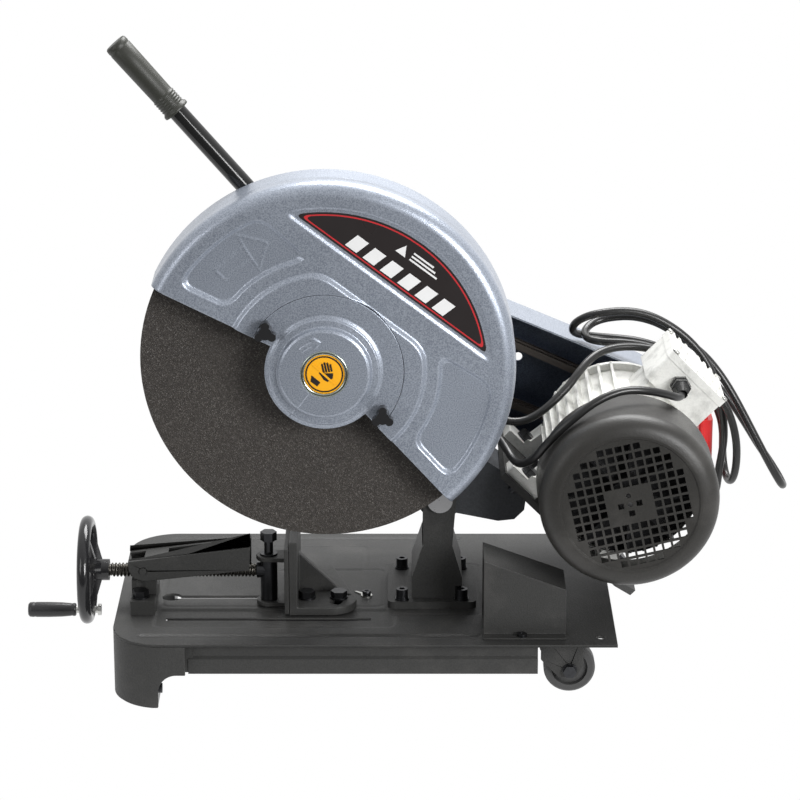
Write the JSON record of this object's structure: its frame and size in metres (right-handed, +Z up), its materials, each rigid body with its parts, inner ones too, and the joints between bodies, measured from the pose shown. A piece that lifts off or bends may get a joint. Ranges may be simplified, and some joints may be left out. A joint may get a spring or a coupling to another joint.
{
  "type": "abrasive chop saw",
  "caption": "Bench cut-off saw with a 400 mm abrasive disc in a round guard, tilted belt-drive motor, swing arm, screw vice and slotted base on two wheels.",
  "frame": {"origin": "on the floor under the middle of the machine's footprint box, its cord left out", "axes": "+X from the vice to the motor end, +Y from the operator's disc side to the belt side, +Z up"},
  "size_m": [0.8635, 0.347, 0.7243],
  "materials": {
    "guard_paint": "blue-grey hammertone, semi-gloss",
    "base_paint": "charcoal textured powder coat, matt",
    "arm_paint": "grey paint on a casting, satin",
    "black_tube": "black gloss paint",
    "wheel_black": "glossy black",
    "cast_aluminium": "as cast, satin",
    "cowl_paint": "dark grey-brown, satin",
    "machined_steel": "turned, satin",
    "black_steel": "black oxide, satin",
    "zinc_steel": "bright zinc",
    "screw_steel": "rolled thread, oiled",
    "bronze": "sintered bronze",
    "copper_iron": "laminated core",
    "abrasive": "resin bonded grit, matt",
    "grip_rubber": "matt, dark olive grey",
    "black_rubber": "matt",
    "belt_rubber": "matt, brown-grey",
    "wheel_tyre": "matt dark grey",
    "black_plastic": "fine texture",
    "plug_red": "red, satin",
    "button_green": "green",
    "button_red": "red"
  },
  "bodies": {
    "base": {"base_top_plate": "base_paint", "left_end_skirt": "base_paint", "side_rails": "base_paint", "rubber_feet": "black_rubber", "m6_screws": "black_steel", "wheel_forks": "base_paint", "wheel_axle_bolts": "black_steel", "pivot_stand": "base_paint", "stand_screws": "black_steel", "pivot_pin": "machined_steel", "fixed_fence": "base_paint", "vice_hex_bolts": "black_steel", "vice_nut_block": "base_paint", "spark_deflector": "base_paint"},
    "jaw": {"movable_jaw": "base_paint", "jaw_swivel_bolt": "black_steel", "jaw_swivel_tube": "black_steel"},
    "screw": {"vice_screw": "screw_steel", "handwheel": "wheel_black", "crank_pin": "zinc_steel"},
    "crank_grip": {"crank_grip": "black_plastic"},
    "lever": {"release_lever": "base_paint"},
    "arm": {"swing_arm": "arm_paint", "pivot_bushes": "bronze", "spindle_bearings": "machined_steel", "motor_plate": "base_paint", "motor_foot_bolts": "black_steel", "motor_housing": "cast_aluminium", "motor_end_shields": "cast_aluminium", "stator": "copper_iron", "fan_cover": "cowl_paint", "terminal_box": "cast_aluminium", "terminal_box_lid": "cast_aluminium", "cable_glands": "black_plastic", "guard_back_shell": "guard_paint", "guard_front_cover": "guard_paint", "access_cover": "guard_paint", "belt_guard": "guard_paint", "handle_tube": "black_tube", "handle_grip": "grip_rubber", "switch_box": "black_plastic", "motor_lead": "black_rubber", "mains_cord": "black_rubber", "mains_cord_hank": "black_rubber", "mains_plug": "plug_red", "v_belts": "belt_rubber"},
    "spindle": {"spindle_shaft": "machined_steel", "disc_flanges": "machined_steel", "cutting_disc": "abrasive", "disc_nut": "black_steel", "driven_pulley": "machined_steel"},
    "rotor": {"rotor": "machined_steel", "drive_pulley": "machined_steel", "cooling_fan": "black_plastic"},
    "front_wheel": {"front_road_wheel": "wheel_tyre"},
    "back_wheel": {"back_road_wheel": "wheel_tyre"},
    "start_button": {"start_button": "button_green"},
    "stop_button": {"stop_button": "button_red"},
    "left_knob": {"left_cover_knob": "black_plastic"},
    "right_knob": {"right_cover_knob": "black_plastic"}
  },
  "joints": [
    {"name": "arm_swing", "type": "hinge", "parent": "base", "child": "arm", "pos_m": [0.0732, -0.0125, 0.201], "axis": [0, -1, 0], "range_deg": [0, 36]},
    {"name": "spindle_spin", "type": "hinge", "parent": "arm", "child": "spindle", "pos_m": [-0.0518, -0.0955, 0.376], "axis": [0, 1, 0], "continuous": true},
    {"name": "motor_spin", "type": "hinge", "parent": "arm", "child": "rotor", "pos_m": [0.2757, -0.0105, 0.2372], "axis": [0, 1, 0], "continuous": true},
    {"name": "jaw_slide", "type": "slide", "parent": "base", "child": "jaw", "axis": [-1, 0, 0], "range_m": [0, 0.037]},
    {"name": "screw_turn", "type": "hinge", "parent": "jaw", "child": "screw", "pos_m": [-0.2118, -0.0505, 0.1165], "axis": [1, 0, 0], "range_deg": [0, 3330]},
    {"name": "crank_spin", "type": "hinge", "parent": "screw", "child": "crank_grip", "pos_m": [-0.3618, -0.0505, 0.0685], "axis": [1, 0, 0], "continuous": true},
    {"name": "lever_lift", "type": "hinge", "parent": "base", "child": "lever", "pos_m": [-0.2573, -0.0505, 0.122], "axis": [0, -1, 0], "range_deg": [0, 70]},
    {"name": "front_wheel_spin", "type": "hinge", "parent": "base", "child": "front_wheel", "pos_m": [0.2162, -0.1145, 0.0285], "axis": [0, 1, 0], "continuous": true},
    {"name": "back_wheel_spin", "type": "hinge", "parent": "base", "child": "back_wheel", "pos_m": [0.2162, 0.1145, 0.0285], "axis": [0, 1, 0], "continuous": true},
    {"name": "start_press", "type": "slide", "parent": "arm", "child": "start_button", "axis": [0, 0, -1], "range_m": [0, 0.004], "stiffness_N_per_m": 400},
    {"name": "stop_press", "type": "slide", "parent": "arm", "child": "stop_button", "axis": [0, 0, -1], "range_m": [0, 0.004], "stiffness_N_per_m": 400},
    {"name": "left_knob_turn", "type": "hinge", "parent": "arm", "child": "left_knob", "pos_m": [-0.11397, -0.1455, 0.4231], "axis": [0, -1, 0], "range_deg": [0, 720]},
    {"name": "right_knob_turn", "type": "hinge", "parent": "arm", "child": "right_knob", "pos_m": [0.01037, -0.1455, 0.3289], "axis": [0, -1, 0], "range_deg": [0, 720]}
  ],
  "couplings": [
    {"joint": "motor_spin", "follows": "spindle_spin", "ratio": 1.25},
    {"joint": "jaw_slide", "follows": "screw_turn", "m_per_rad": 0.00063662}
  ]
}
